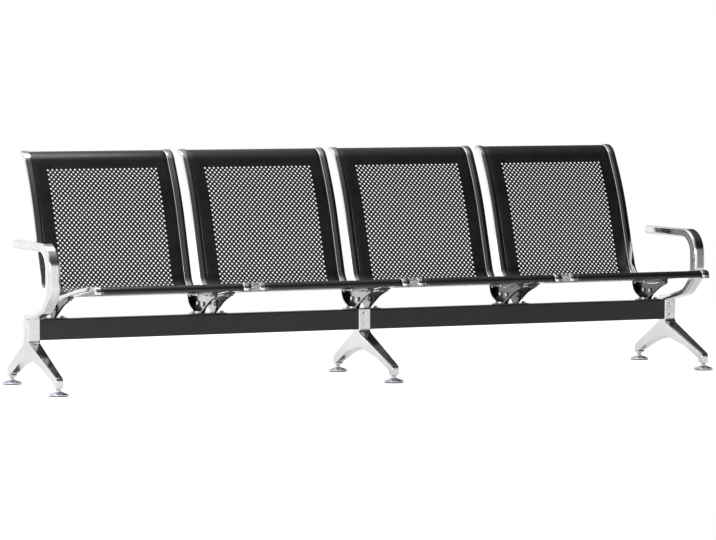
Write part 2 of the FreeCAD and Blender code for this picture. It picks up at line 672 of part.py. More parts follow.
def make_rails(line):
    """The rail of a sitter's left side, seen from the front on the right, and its mirror image."""
    loops = [rectangle(f"-(rail_width / 2 - {inset})", f"-lip_reach + {inset}",
                       f"rail_width / 2 - {inset}", f"-lip_reach + rail_depth - {inset}",
                       f"rail_corner - {inset}") for inset in ("0", "rail_wall")]
    tube = bent("rail_tube", *loops)
    inner = Vector(value("-rail_width / 2"), 0, 0)
    drills = drills_at("rail_sheet_tap", [(at + inner, LEFT) for at in sheet_screw_spots(line)],
                       "sheet_screw + thread_play", "2 * rail_wall")
    drills += drills_at("rail_bracket_tap", rail_screw_spots(line), "bolt_size + thread_play",
                        "web_wall + 2 * rail_wall")
    right = operation("Part::Cut", "rail_right", tube, group("rail_drills", drills))
    spread_sides("rail", right)


def spread_sides(kind, right):
    """Copies of a right-hand piece and of its mirror image, one of each to a seat."""
    left = doc.addObject("Part::Mirroring", right.Name + "_mirrored")
    left.Source, left.Normal = right, Vector(1, 0, 0)
    reach = value("rail_outer - rail_width / 2")
    for number, x in enumerate(seat_centres, 1):
        for side, source, offset in (("left", left, -reach), ("right", right, reach)):
            copy = group(f"{kind}_{number}_{side}", [source])
            node(place(copy, x + offset), f"seat_{number}_{kind}_{side}")


# The seats: one bent sheet between two rails, its side edges folded down against them
def make_seats(line):
    wide, thin = "rail_inner", "rail_inner - sheet_wall"
    face, back = "-lip_reach + sheet_inset", "-lip_reach + sheet_inset + sheet_wall"
    fold = "-lip_reach + sheet_inset + sheet_flange"
    section = [(f"-({wide})", face, "0"), (wide, face, "0"), (wide, fold, "0"), (thin, fold, "0"),
               (thin, back, "0"), (f"-({thin})", back, "0"), (f"-({thin})", fold, "0"),
               (f"-({wide})", fold, "0")]
    blank = bent("sheet_blank", section)
    inner = value("rail_inner - sheet_wall")
    drills = []
    for side in (LEFT, RIGHT):
        spots = [(at + side * inner, -side) for at in sheet_screw_spots(line)]
        drills += drills_at("sheet_hole", spots, "sheet_screw + bolt_play / 2", "2 * sheet_wall")
    drills += drills_at("sheet_opening", opening_spots(line), "opening_size",
                        "sheet_inset + sheet_wall + cut_over")
    pressed = operation("Part::Cut", "seat_sheet", blank, group("sheet_drills", drills))
    screws = []
    for side in (LEFT, RIGHT):
        for at in sheet_screw_spots(line):
            seat = at + side * inner
            head = rod("sheet_screw_head", "sheet_screw_head", "sheet_screw / 2", seat, -side)
            shank = rod("sheet_screw_shank", "sheet_screw", "sheet_screw_length", seat, side)
            screws.append(joined("sheet_screw", [head, shank]))
    screw_set = group("sheet_screw_set", screws)
    for number, x in enumerate(seat_centres, 1):
        node(place(group(f"seat_{number}", [pressed]), x), f"seat_{number}_sheet")
        node(place(group(f"seat_{number}_screws", [screw_set]), x), f"seat_{number}_sheet_screws")


# The rail plugs: plastic, pushed into both ends of every rail
def make_plugs(line):
    cap = slab("plug_cap", "XY_Plane", rectangle("-rail_width / 2", "0", "rail_width / 2", "rail_depth",
                                                 "rail_corner"), "2 * plug_cap")
    keep = doc.addObject("Part::Box", "plug_keep")
    bind(keep, Length="2 * rail_width", Width="2 * rail_depth", Height="plug_cap")
    place(keep, value("-rail_width"), value("-rail_depth / 2"), value("-plug_cap"))
    stem = doc.addObject("Part::Box", "plug_stem")
    bind(stem, Length="plug_rib", Width="rail_depth - 2 * (rail_wall + plug_play)", Height="plug_stem")
    place(stem, value("-plug_rib / 2"), value("rail_wall + plug_play"))
    plug = joined("plug", [operation("Part::Common", "plug_head", cap, keep), stem])
    ends = [(Vector(0, value("-lip_reach"), value("lip_base")), UP, REAR)]
    point, along, below = line.spot(up=value("top_height"))
    ends.append((point, -along, below))
    plugs = []
    for centre in seat_centres:
        for side in (-1, 1):
            for at, inward, below in ends:
                copy = group("plug_copy", [plug])
                across = below.cross(inward)
                x = centre + side * value("rail_outer - rail_width / 2")
                copy.Placement = Placement(at + Vector(x, 0, 0), Rotation(across, below, inward, "ZYX"))
                plugs.append(copy)
    node(group("plugs", plugs), "rail_plugs")


# The brackets: pressed steel, a web under the rail's outer side with a flange round its V
def bracket_outline():
    """The web from the side. Its top is cut to the rail."""
    top = "heel_height + rail_width"
    return [
        ("bracket_foot_setback - bracket_foot / 2", "saddle_top", "bracket_corner"),
        ("bracket_foot_setback + bracket_foot / 2", "saddle_top", "bracket_corner"),
        ("bracket_belly_setback", "bracket_belly_height", "bracket_belly_radius"),
        ("bracket_heel_setback", top, "0"),
        ("-bracket_toe_reach", top, "0"),
        ("-bracket_toe_reach", "bracket_toe_height", "bracket_corner"),
        ("-bracket_waist_reach", "bracket_waist_height", "bracket_waist_radius"),
    ]


def block(name, low, high):
    """A box between two corners, each three expressions."""
    obj = doc.addObject("Part::Box", name)
    for side, a, b in zip(("Length", "Width", "Height"), low, high):
        obj.setExpression(side, bound(f"({b}) - ({a})"))
    return place(obj, *[value(text) for text in low])


def make_brackets(line):
    half, web_face, top = "rail_width / 2", "rail_width / 2 - web_inset", "lip_top + rail_width"
    outside = slab("bracket_outside", "YZ_Plane", bracket_outline(), "bracket_flange")
    doc.recompute()
    inside = doc.addObject("Part::Offset2D", "bracket_inside")
    inside.Source = next(o for o in outside.Group if o.Name.endswith("_outline"))
    bind(inside, Value="-web_wall")
    hollow = doc.addObject("Part::Extrusion", "bracket_hollow")
    hollow.Base, hollow.DirMode, hollow.Dir, hollow.Solid = inside, "Custom", RIGHT, True
    bind(hollow, LengthFwd="bracket_flange - web_wall", LengthRev="0")
    place(hollow, value("-bracket_flange / 2"))
    tray = group("bracket_tray_set", [operation("Part::Cut", "bracket_tray", outside, hollow)])
    place(tray, value(f"{web_face} - bracket_flange / 2"))
    trim = block("bracket_trim", (f"-({half}) - cut_over", "-bracket_toe_reach - cut_over", "beam_base"),
                 (f"{web_face} - bracket_lip",
                  "bracket_foot_setback + bracket_foot / 2 + bracket_corner", top))
    strip = operation("Part::Cut", "bracket_strip", tray, trim)
    pad_layer = layer("bracket_pad_layer", half, "rail_depth", "rail_depth + web_wall")
    toe = block("bracket_toe_block", (f"-({half})", "-bracket_toe_reach", "beam_base"),
                (web_face, "-bracket_toe_reach + toe_pad", top))
    heel = block("bracket_heel_block", (f"-({half})", "smile_setback", "beam_base"),
                 (web_face, "bracket_heel_setback", "lip_top"))
    pads = operation("Part::Common", "bracket_pads", pad_layer, group("bracket_blocks", [toe, heel]))
    whole = joined("bracket_whole", [strip, pads])
    rail_room = layer("bracket_rail_room", "rail_width", "-rail_headroom", "rail_depth")
    gap_layer = layer("bracket_gap_layer", "rail_width", "0", "rail_depth + smile_gap")
    gap_block = block("bracket_gap_block", ("-rail_width", "-smile_reach", "beam_base"),
                      ("rail_width", "smile_setback", "lip_top"))
    gap = operation("Part::Common", "bracket_gap", gap_layer, gap_block)
    drills = drills_at("bracket_rail_hole", rail_screw_spots(line), "bolt_size + bolt_play",
                       "web_wall + cut_over")
    drills += drills_at("bracket_web_hole", web_bolt_spots(), "bolt_size + bolt_play", "web_wall + cut_over")
    cuts = group("bracket_cuts", [rail_room, gap] + drills)
    pressed = operation("Part::Cut", "bracket_pressed", whole, cuts)
    spread_sides("bracket", pressed)


def web_bolt_spots():
    """The two bolts of a right-hand bracket's web, heads inward, about the rail's middle."""
    x, z = value("rail_width / 2 - web_inset - web_wall"), value("bolt_line")
    return [(Vector(x, side * value("web_bolt_spread / 2"), z), LEFT) for side in (-1, 1)]


# The saddles: a plate on the beam with an upright lug behind each bracket's web
def make_saddles():
    low, high = "-lug_width / 2", "lug_width / 2"
    knee = "lug_top - lug_cheek"
    corner = "bracket_corner"
    lug = slab("saddle_lug", "YZ_Plane", [
        ("-lug_root / 2", "beam_top", "0"), ("lug_root / 2", "beam_top", "0"), (high, knee, corner),
        (high, "lug_top", corner), (low, "lug_top", corner), (low, knee, corner)], "saddle_wall")
    web_face = "seat_gap / 2 + web_inset"
    for i in range(SEATS + 1):
        x = (i - half_seats) * value("seat_pitch")
        left = "saddle_stub" if i == 0 else "saddle_reach"
        right = "saddle_stub" if i == SEATS else "saddle_reach"
        plate = block(f"saddle_plate_{i}", (f"-({left})", "-beam_depth / 2", "beam_top"),
                      (right, "beam_depth / 2", "saddle_top"))
        sides = [side for side, edge in ((-1, 0), (1, SEATS)) if i != edge]
        lugs = [place(group(f"saddle_lug_{i}", [lug]), side * value(f"{web_face} - saddle_wall / 2"))
                for side in sides]
        holes = [(Vector(side * value(web_face), at.y, at.z), Vector(side, 0, 0))
                 for side in sides for at, axis in web_bolt_spots()]
        holes += [(at - Vector(x, 0, 0), axis) for at, axis in saddle_screw_spots()[2 * i:2 * i + 2]]
        drills = drills_at(f"saddle_hole_{i}", holes, "bolt_size + bolt_play", "saddle_wall + cut_over")
        welded = joined(f"saddle_welded_{i}", [plate] + lugs)
        node(place(operation("Part::Cut", f"saddle_{i}", welded, group(f"saddle_drills_{i}", drills)), x),
             f"saddle_{i + 1}")


# The fasteners, each kind one group
def make_fasteners(line):
    node(group("leg_screws", bolts_at("leg_screw", leg_screw_spots(),
                                      "head_wall + beam_play + beam_wall + screw_end")), "leg_screws")
    long_bolts = [spot for x in (-leg_x, leg_x) for spot in arm_bolt_spots(x)]
    node(group("arm_bolts", bolts_at("arm_bolt", long_bolts,
                                     "head_base + beam_height + bolt_thread - hole_floor")), "armrest_bolts")
    node(group("saddle_screws", bolts_at("saddle_screw", saddle_screw_spots(), "saddle_screw_length")),
         "saddle_screws")
    screws, webs = [], []
    reach = value("rail_outer - rail_width / 2")
    screw_pair = bolts_at("rail_screw", rail_screw_spots(line), "rail_screw_length")
    grip = "web_wall + saddle_wall"
    web_pair = bolts_at("web_bolt", web_bolt_spots(), f"{grip} + bolt_nut + bolt_end")
    for at, axis in web_bolt_spots():
        web_pair.append(nut("web_nut", "bolt_flats", "bolt_nut", "bolt_size",
                            at - axis * value(grip), -axis))
    for kind, pair in (("rail_screw_sets", screw_pair), ("web_bolt_sets", web_pair)):
        right = group(kind + "_right", pair)
        left = doc.addObject("Part::Mirroring", kind + "_left")
        left.Source, left.Normal = right, Vector(1, 0, 0)
        copies = [place(group(kind + "_copy", [source]), x + side * reach) for x in seat_centres
                  for side, source in ((-1, left), (1, right))]
        node(group(kind, copies), "bracket_screws" if kind == "rail_screw_sets" else "web_bolts")


def nut(name, flats, height, bore, at, axis):
    """A nut standing on the point, bored through."""
    body = hexagon(name + "_body", flats, height, at, axis)
    start = at - axis * value("cut_over")
    hole = rod(name + "_bore", bore, f"{height} + 2 * cut_over", start, axis)
    return operation("Part::Cut", name, body, hole)


# The glides: a stud screwed up into the ankle, a lock nut, a chromed disc and a nylon sole
def turned(name, corners):
    """A body turned about the upright axis from half its section."""
    body = doc.addObject("PartDesign::Body", name)
    section = sketch_on(body, name + "_section", "XZ_Plane", corners)
    spin = body.newObject("PartDesign::Revolution", name + "_turn")
    spin.Profile = section
    spin.ReferenceAxis = (section, ["V_Axis"])
    spin.Angle = 360
    return body


def make_glides():
    rim, hub, bore = "glide_size / 2", "glide_hub / 2", "stud_size / 2"
    low, edge = "sole_height", "sole_height + glide_rim"
    crown = "sole_height + glide_rim + glide_dome"
    top = crown + " + glide_collar"
    disc = turned("glide_disc", [(bore, low, "0"), (rim, low, "glide_foot_radius"),
                                 (rim, edge, "glide_rim_radius"),
                                 (f"{hub} + glide_skirt", f"{crown} - glide_skirt_drop", "glide_dome_radius"),
                                 (hub, crown, "glide_hub_radius"), (hub, top, "glide_collar_radius"),
                                 (bore, top, "0")])
    sole = rod("glide_sole", "glide_size - 2 * sole_inset", "sole_height", Vector(0, 0, 0))
    stud = rod("glide_stud", "stud_size", "stud_top - sole_height", Vector(0, 0, value("sole_height")))
    lock = nut("lock_nut", "nut_flats", "nut_height", "stud_size + stud_play",
               Vector(0, 0, value("ankle_base - nut_height")), UP)
    nuts = []
    for name, x in leg_places.items():
        for end, y in (("front", value("-front_reach")), ("rear", value("rear_reach"))):
            for piece, source in (("disc", disc), ("sole", sole), ("stud", stud)):
                copy = group(f"{piece}_{end}_{name}", [source])
                node(place(copy, x, y), f"glide_{end}_{name}_{piece}")
            nuts.append(place(group(f"lock_nut_{end}_{name}", [lock]), x, y))
    node(group("lock_nuts", nuts), "glide_lock_nuts")


def settle():
    """Moves all the nodes so that the origin is under the middle of the outline."""
    doc.recompute()
    boxes = [obj.Shape.optimalBoundingBox(False, False) for obj in nodes]
    middle = (min(box.YMin for box in boxes) + max(box.YMax for box in boxes)) / 2
    for obj in nodes:
        obj.Placement = Placement(Vector(0, -middle, 0), Rotation()).multiply(obj.Placement)
    doc.recompute()
    return -middle


def export():
    """Writes each sub-part's file once every object and shape is sound."""
    for obj in doc.Objects:
        if any(state in ("Invalid", "Error") for state in obj.State):
            raise RuntimeError(f"{obj.Name} is {obj.State}")
    os.makedirs("parts", exist_ok=True)
    for obj in nodes:
        if obj.Shape.isNull() or not obj.Shape.isValid() or not obj.Shape.Solids:
            raise RuntimeError(f"{obj.Label} has no valid solid")
        obj.Shape.exportStep(f"parts/{obj.Label}.step")


make_beam()
make_legs()
make_arms()
guide = SeatLine(layer("guide_layer", "1", "0", "1"))
make_rails(guide)
make_seats(guide)
make_plugs(guide)
make_brackets(guide)
make_saddles()
make_fasteners(guide)
make_glides()
beam_setback = settle()
export()
print(f"{len(nodes)} sub-parts, beam's axis at Y {beam_setback:.2f}")
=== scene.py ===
import math
from bisect import bisect

import bpy
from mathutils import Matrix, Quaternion, Vector


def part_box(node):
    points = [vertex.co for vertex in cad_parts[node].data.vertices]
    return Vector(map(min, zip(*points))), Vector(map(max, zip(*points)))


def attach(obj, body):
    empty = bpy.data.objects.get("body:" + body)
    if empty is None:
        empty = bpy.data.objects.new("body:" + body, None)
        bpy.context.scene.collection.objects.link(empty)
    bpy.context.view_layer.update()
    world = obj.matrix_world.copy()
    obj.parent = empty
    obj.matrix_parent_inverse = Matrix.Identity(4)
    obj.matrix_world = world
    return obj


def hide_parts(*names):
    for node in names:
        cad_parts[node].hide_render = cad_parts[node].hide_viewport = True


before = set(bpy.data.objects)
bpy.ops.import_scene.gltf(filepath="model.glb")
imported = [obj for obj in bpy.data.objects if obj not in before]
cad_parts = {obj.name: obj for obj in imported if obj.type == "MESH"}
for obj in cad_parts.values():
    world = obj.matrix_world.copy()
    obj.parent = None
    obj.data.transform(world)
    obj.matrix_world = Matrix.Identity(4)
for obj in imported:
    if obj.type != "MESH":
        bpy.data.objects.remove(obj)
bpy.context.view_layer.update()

# The beam: one long rectangular steel tube that everything else is bolted to. It is powder coated in
# satin charcoal, which leaves a fine orange peel on the flat faces.
LUMP_FROM, LUMP_TO = 0.35, 0.65
PATCH_DETAIL = 4


def coating(name, **values):
    """A material with one Principled shader. Its plain values stand on the shader's own sockets."""
    material = bpy.data.materials.new(name)
    material.use_nodes = True
    shader = material.node_tree.nodes["Principled BSDF"]
    for socket, value in values.items():
        shader.inputs[socket.replace("_", " ")].default_value = value
    return material


def mottle(material, per_metre, detail=2.0, stretch=(1, 1, 1)):
    """Noise with that many lumps to a metre, drawn out along the axes where stretch is under 1."""
    nodes, links = material.node_tree.nodes, material.node_tree.links
    place, turn, noise = (nodes.new("ShaderNode" + kind) for kind in ("TexCoord", "Mapping", "TexNoise"))
    turn.inputs["Scale"].default_value = stretch
    noise.inputs["Scale"].default_value = per_metre
    noise.inputs["Detail"].default_value = detail
    links.new(place.outputs["Object"], turn.inputs["Vector"])
    links.new(turn.outputs["Vector"], noise.inputs["Vector"])
    return noise.outputs["Fac"]


def map_range(tree, source, start, end, low, high):
    """A value that runs from low to high while the source runs from start to end."""
    ramp = tree.nodes.new("ShaderNodeMapRange")
    for slot, value in zip(("From Min", "From Max", "To Min", "To Max"), (start, end, low, high)):
        ramp.inputs[slot].default_value = value
    tree.links.new(source, ramp.inputs["Value"])
    return ramp


def vary_colour(material, source, low, high):
    """The base colour runs from low to high over the middle of the noise."""
    nodes, links = material.node_tree.nodes, material.node_tree.links
    ramp = nodes.new("ShaderNodeValToRGB")
    for stop, at, tint in zip(ramp.color_ramp.elements, (LUMP_FROM, LUMP_TO), (low, high)):
        stop.position, stop.color = at, (*tint, 1)
    links.new(source, ramp.inputs["Fac"])
    links.new(ramp.outputs["Color"], nodes["Principled BSDF"].inputs["Base Color"])


def vary_gloss(material, source, low, high):
    """The roughness runs from low to high over the middle of the noise."""
    tree = material.node_tree
    ramp = map_range(tree, source, LUMP_FROM, LUMP_TO, low, high)
    tree.links.new(ramp.outputs["Result"], tree.nodes["Principled BSDF"].inputs["Roughness"])


def emboss(material, source, depth):
    """Relief of that depth in metres from the noise."""
    nodes, links = material.node_tree.nodes, material.node_tree.links
    bump = nodes.new("ShaderNodeBump")
    bump.inputs["Distance"].default_value = depth
    links.new(source, bump.inputs["Height"])
    links.new(bump.outputs["Normal"], nodes["Principled BSDF"].inputs["Normal"])


def grained(name, colours, blotches, gloss, patches, relief, grain, blotch_detail=2.0, **values):
    """A grained surface. Its blotches of colour, patches of gloss and grains are counted to the metre."""
    material = coating(name, **values)
    vary_colour(material, mottle(material, blotches, blotch_detail), *colours)
    vary_gloss(material, mottle(material, patches, PATCH_DETAIL), *gloss)
    emboss(material, mottle(material, grain), relief)
    return material


def coat(names, material):
    """Gives carried-over pieces a material in place of their plain one."""
    for name in names:
        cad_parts[name].data.materials.clear()
        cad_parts[name].data.materials.append(material)


charcoal = grained("satin_charcoal_powder", colours=((0.019, 0.019, 0.021), (0.024, 0.024, 0.0265)),
                   blotches=40, gloss=(0.30, 0.38), patches=9, relief=0.00004, grain=900,
                   Specular_IOR_Level=0.5)
coat(["beam_tube"], charcoal)
beam_low, beam_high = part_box("beam_tube")
beam_y = (beam_low.y + beam_high.y) / 2

# The legs: three aluminium die castings, ground, polished and chrome plated. The polishing leaves long
# soft waves in the surface, and the plating mirrors with a slight haze.
LEGS = ("left", "center", "right")
CHROME_TINT = (0.86, 0.865, 0.88)
WIPED_SHARE = 0.94
WIPED_DETAIL, SMEAR_DETAIL = 3, 6
SMEAR_STRETCH = (1, 1, 0.4)


def plating(name, waves, wave_depth, gloss=(0.035, 0.075), smears=14, tint=CHROME_TINT):
    """Chrome over a metal with that many waves and faint wiping smears to the metre."""
    material = coating(name, Metallic=1.0)
    wiped = tuple(WIPED_SHARE * c for c in tint)
    vary_colour(material, mottle(material, smears, WIPED_DETAIL), wiped, tint)
    vary_gloss(material, mottle(material, smears, SMEAR_DETAIL, SMEAR_STRETCH), *gloss)
    emboss(material, mottle(material, waves, detail=1.0), wave_depth)
    return material


cast_chrome = plating("chrome_on_casting", waves=22, wave_depth=0.0006, gloss=(0.10, 0.16))
coat([f"leg_{side}" for side in LEGS], cast_chrome)

# The levelling glides: a spun steel disc, chrome plated, over a black nylon sole. It is pressed onto a
# zinc-plated stud that screws up into the leg, where a lock nut holds it.
disc_chrome = plating("chrome_on_disc", waves=60, wave_depth=0.0001, gloss=(0.18, 0.26),
                      tint=(0.84, 0.82, 0.93))
zinc = grained("zinc_plate", colours=((0.50, 0.50, 0.49), (0.62, 0.62, 0.63)), blotches=160,
               blotch_detail=3.0, gloss=(0.24, 0.38), patches=260, relief=0.00003, grain=1500, Metallic=1.0)
nylon = grained("black_nylon", colours=((0.010, 0.010, 0.011), (0.016, 0.016, 0.017)), blotches=300,
                gloss=(0.42, 0.55), patches=120, relief=0.00003, grain=2200, Specular_IOR_Level=0.45)
GLIDES = [f"glide_{end}_{side}" for end in ("front", "rear") for side in LEGS]
coat([glide + "_disc" for glide in GLIDES], disc_chrome)
coat([glide + "_sole" for glide in GLIDES], nylon)
coat([glide + "_stud" for glide in GLIDES] + ["glide_lock_nuts"], zinc)

# The armrests: one aluminium die casting over each end leg, chrome plated like the legs, held by two
# bolts that come up through the beam.
coat(["armrest_left", "armrest_right"], cast_chrome)

# The saddles and brackets: plates on the beam with an upright lug behind each bracket, and pressed steel
# brackets that carry the rails. Both are gloss black over smooth sheet.
SEATS = range(1, 5)
SADDLES = range(1, 6)
SIDES = ("left", "right")
gloss_black = grained("gloss_black_powder", colours=((0.007, 0.007, 0.008), (0.011, 0.011, 0.012)),
                      blotches=60, gloss=(0.16, 0.24), patches=18, relief=0.00003, grain=500,
                      Coat_Weight=0.6, Coat_Roughness=0.06)
coat([f"saddle_{number}" for number in SADDLES], gloss_black)
coat([f"seat_{number}_bracket_{side}" for number in SEATS for side in SIDES], gloss_black)

# The rails: two to a seat, a flat-sided steel tube drawn and bent in one sweep from the front edge, over
# the pan and up the back to the top roll, and chrome plated.
RAIL_WIDTH, RAIL_DEPTH, RAIL_CORNER = 0.028, 0.014, 0.003
RAIL_STEP, CORNER_STEPS = 0.004, 4
ROUNDING_SLACK = 0.01
SHARP_EDGE = math.radians(35)
LIP_TOP = 0.368
# The corners of the rail's face: how far behind the beam, how high, and the radius of the bend there
SEAT_CORNERS = [
    (-0.435, LIP_TOP - 0.027, 0.0),
    (-0.435, LIP_TOP, 0.022),
    (-0.307, LIP_TOP - 0.009, 1.7),
    (-0.018, LIP_TOP - 0.0615, 0.47),
    (0.095, LIP_TOP - 0.0515, 0.07),
    (0.1975, LIP_TOP + 0.2645, 1.0),
    (0.2815, LIP_TOP + 0.4165, 0.065),
    (0.316, LIP_TOP + 0.4225, 0.0),
]


def seat_line(step):
    """The rail's face as seen from the side: points about a step apart, each with the way it runs."""
    points = [Vector((0, beam_y + y, z)) for y, z, radius in SEAT_CORNERS]
    bends = [(points[0], (points[1] - points[0]).normalized())]
    for before, corner, after, (y, z, radius) in zip(points, points[1:], points[2:], SEAT_CORNERS[1:]):
        into, out = (corner - before).normalized(), (after - corner).normalized()
        turn = into.angle(out)
        start = corner - into * radius * math.tan(turn / 2)
        centre = corner + (out - into).normalized() * radius / math.cos(turn / 2)
        count = math.ceil(radius * turn / step)
        for k in range(count + 1):
            swing = Quaternion(into.cross(out).normalized(), turn * k / count)
            bends.append((centre + swing @ (start - centre), swing @ into))
    bends.append((points[-1], (points[-1] - points[-2]).normalized()))
    line = [bends[0]]
    for (start, way), (end, next_way) in zip(bends, bends[1:]):
        count = math.ceil((end - start).length / step - ROUNDING_SLACK)
        line += [(start.lerp(end, k / count), way.lerp(next_way, k / count).normalized())
                 for k in range(1, count + 1)]
    return line


def below(way):
    """The way down through the seat where its line runs that way."""
    return Vector((0, way.z, -way.y))


def rail_section():
    """Corners of the tube's section, as (across, depth below its face)."""
    side, top, bottom = RAIL_WIDTH / 2 - RAIL_CORNER, RAIL_CORNER, RAIL_DEPTH - RAIL_CORNER
    section = []
    for across, depth, first in ((side, top, -90), (side, bottom, 0), (-side, bottom, 90), (-side, top, 180)):
        for k in range(CORNER_STEPS + 1):
            angle = math.radians(first + 90 * k / CORNER_STEPS)
            section.append((across + RAIL_CORNER * math.cos(angle), depth + RAIL_CORNER * math.sin(angle)))
    return section


def rail_tube():
    """The tube about X = 0, as points and faces."""
    line, section = seat_line(RAIL_STEP), rail_section()
    verts = [spot + Vector((across, 0, 0)) + below(way) * depth
             for spot, way in line for across, depth in section]
    count = len(section)
    faces = []
    for ring in range(len(line) - 1):
        for k in range(count):
            a, b = ring * count + k, ring * count + (k + 1) % count
            faces.append((a, b, b + count, a + count))
    faces.append(tuple(reversed(range(count))))
    faces.append(tuple(range((len(line) - 1) * count, len(line) * count)))
    return verts, faces


def piece(name, verts, faces, material):
    """A mesh object of those points and faces, smooth but for its sharp edges."""
    mesh = bpy.data.meshes.new(name)
    mesh.from_pydata([tuple(v) for v in verts], [], faces)
    mesh.update()
    mesh.shade_smooth()
    mesh.set_sharp_from_angle(angle=SHARP_EDGE)
    mesh.materials.append(material)
    obj = bpy.data.objects.new(name, mesh)
    bpy.context.scene.collection.objects.link(obj)
    return obj


rail_chrome = plating("chrome_on_tube", waves=30, wave_depth=0.0002, smears=10)
tube_verts, tube_faces = rail_tube()
for number in SEATS:
    for side in SIDES:
        node = f"seat_{number}_rail_{side}"
        low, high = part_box(node)
        middle = Vector(((low.x + high.x) / 2, 0, 0))
        rail = piece(f"rail_{number}_{side}", [v + middle for v in tube_verts], tube_faces, rail_chrome)
        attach(rail, "root")
        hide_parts(node)

# The rail plugs: a cap with a stem, moulded in black plastic and pushed into both ends of every rail, so
# that the cut ends of the tube don't show.
plastic = grained("black_plastic", colours=((0.012, 0.012, 0.013), (0.018, 0.018, 0.019)), blotches=300,
                  gloss=(0.35, 0.50), patches=150, relief=0.00003, grain=2500, Specular_IOR_Level=0.4)
coat(["rail_plugs"], plastic)

# The seats: one steel sheet each. It is punched flat with staggered round holes, folded down at both
# sides, rolled to the line of the rails, screwed between them and powder coated gloss black.
SHEET_WALL, SHEET_INSET, SHEET_FLANGE = 0.0015, 0.0025, 0.010
FOLD_RADIUS, FOLD_STEPS = 0.00175, 4
FOLD_EDGE = math.radians(50)
HOLE, HOLE_STEPS = 0.0071, 12
# Neighbouring holes stand one half step across and one half step along from each other.
HALF_ACROSS, HALF_ALONG = 0.00823, 0.00884
FIELD_HALF = 25
FIELD_TOP_HEIGHT = 0.725
FIELD_FRONT_MARGIN = 0.094
TRACK_STEP, MARGIN_STEP = 0.001, 0.004
sheet_low, sheet_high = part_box("seat_1_sheet")
sheet_half = (sheet_high.x - sheet_low.x) / 2


class Track:
    """The middle of the sheet as seen from the side, measured along itself from the front end."""

    def __init__(self):
        depth = SHEET_INSET + SHEET_WALL / 2
        self.line = [(spot + below(way) * depth, way) for spot, way in seat_line(TRACK_STEP)]
        self.lengths = [0.0]
        for (start, way), (end, next_way) in zip(self.line, self.line[1:]):
            self.lengths.append(self.lengths[-1] + (end - start).length)

    def at(self, length):
        """The point that far along, and the way down through the sheet there."""
        length = min(max(length, 0.0), self.lengths[-1])
        high = min(bisect(self.lengths, length), len(self.lengths) - 1)
        low = high - 1
        share = (length - self.lengths[low]) / (self.lengths[high] - self.lengths[low])
        (start, way), (end, next_way) = self.line[low], self.line[high]
        return start.lerp(end, share), below(way.lerp(next_way, share).normalized())

    def rising_past(self, height):
        """How far along the sheet first rises past that height."""
        return next(length for (spot, way), length in zip(self.line, self.lengths) if spot.z > height)


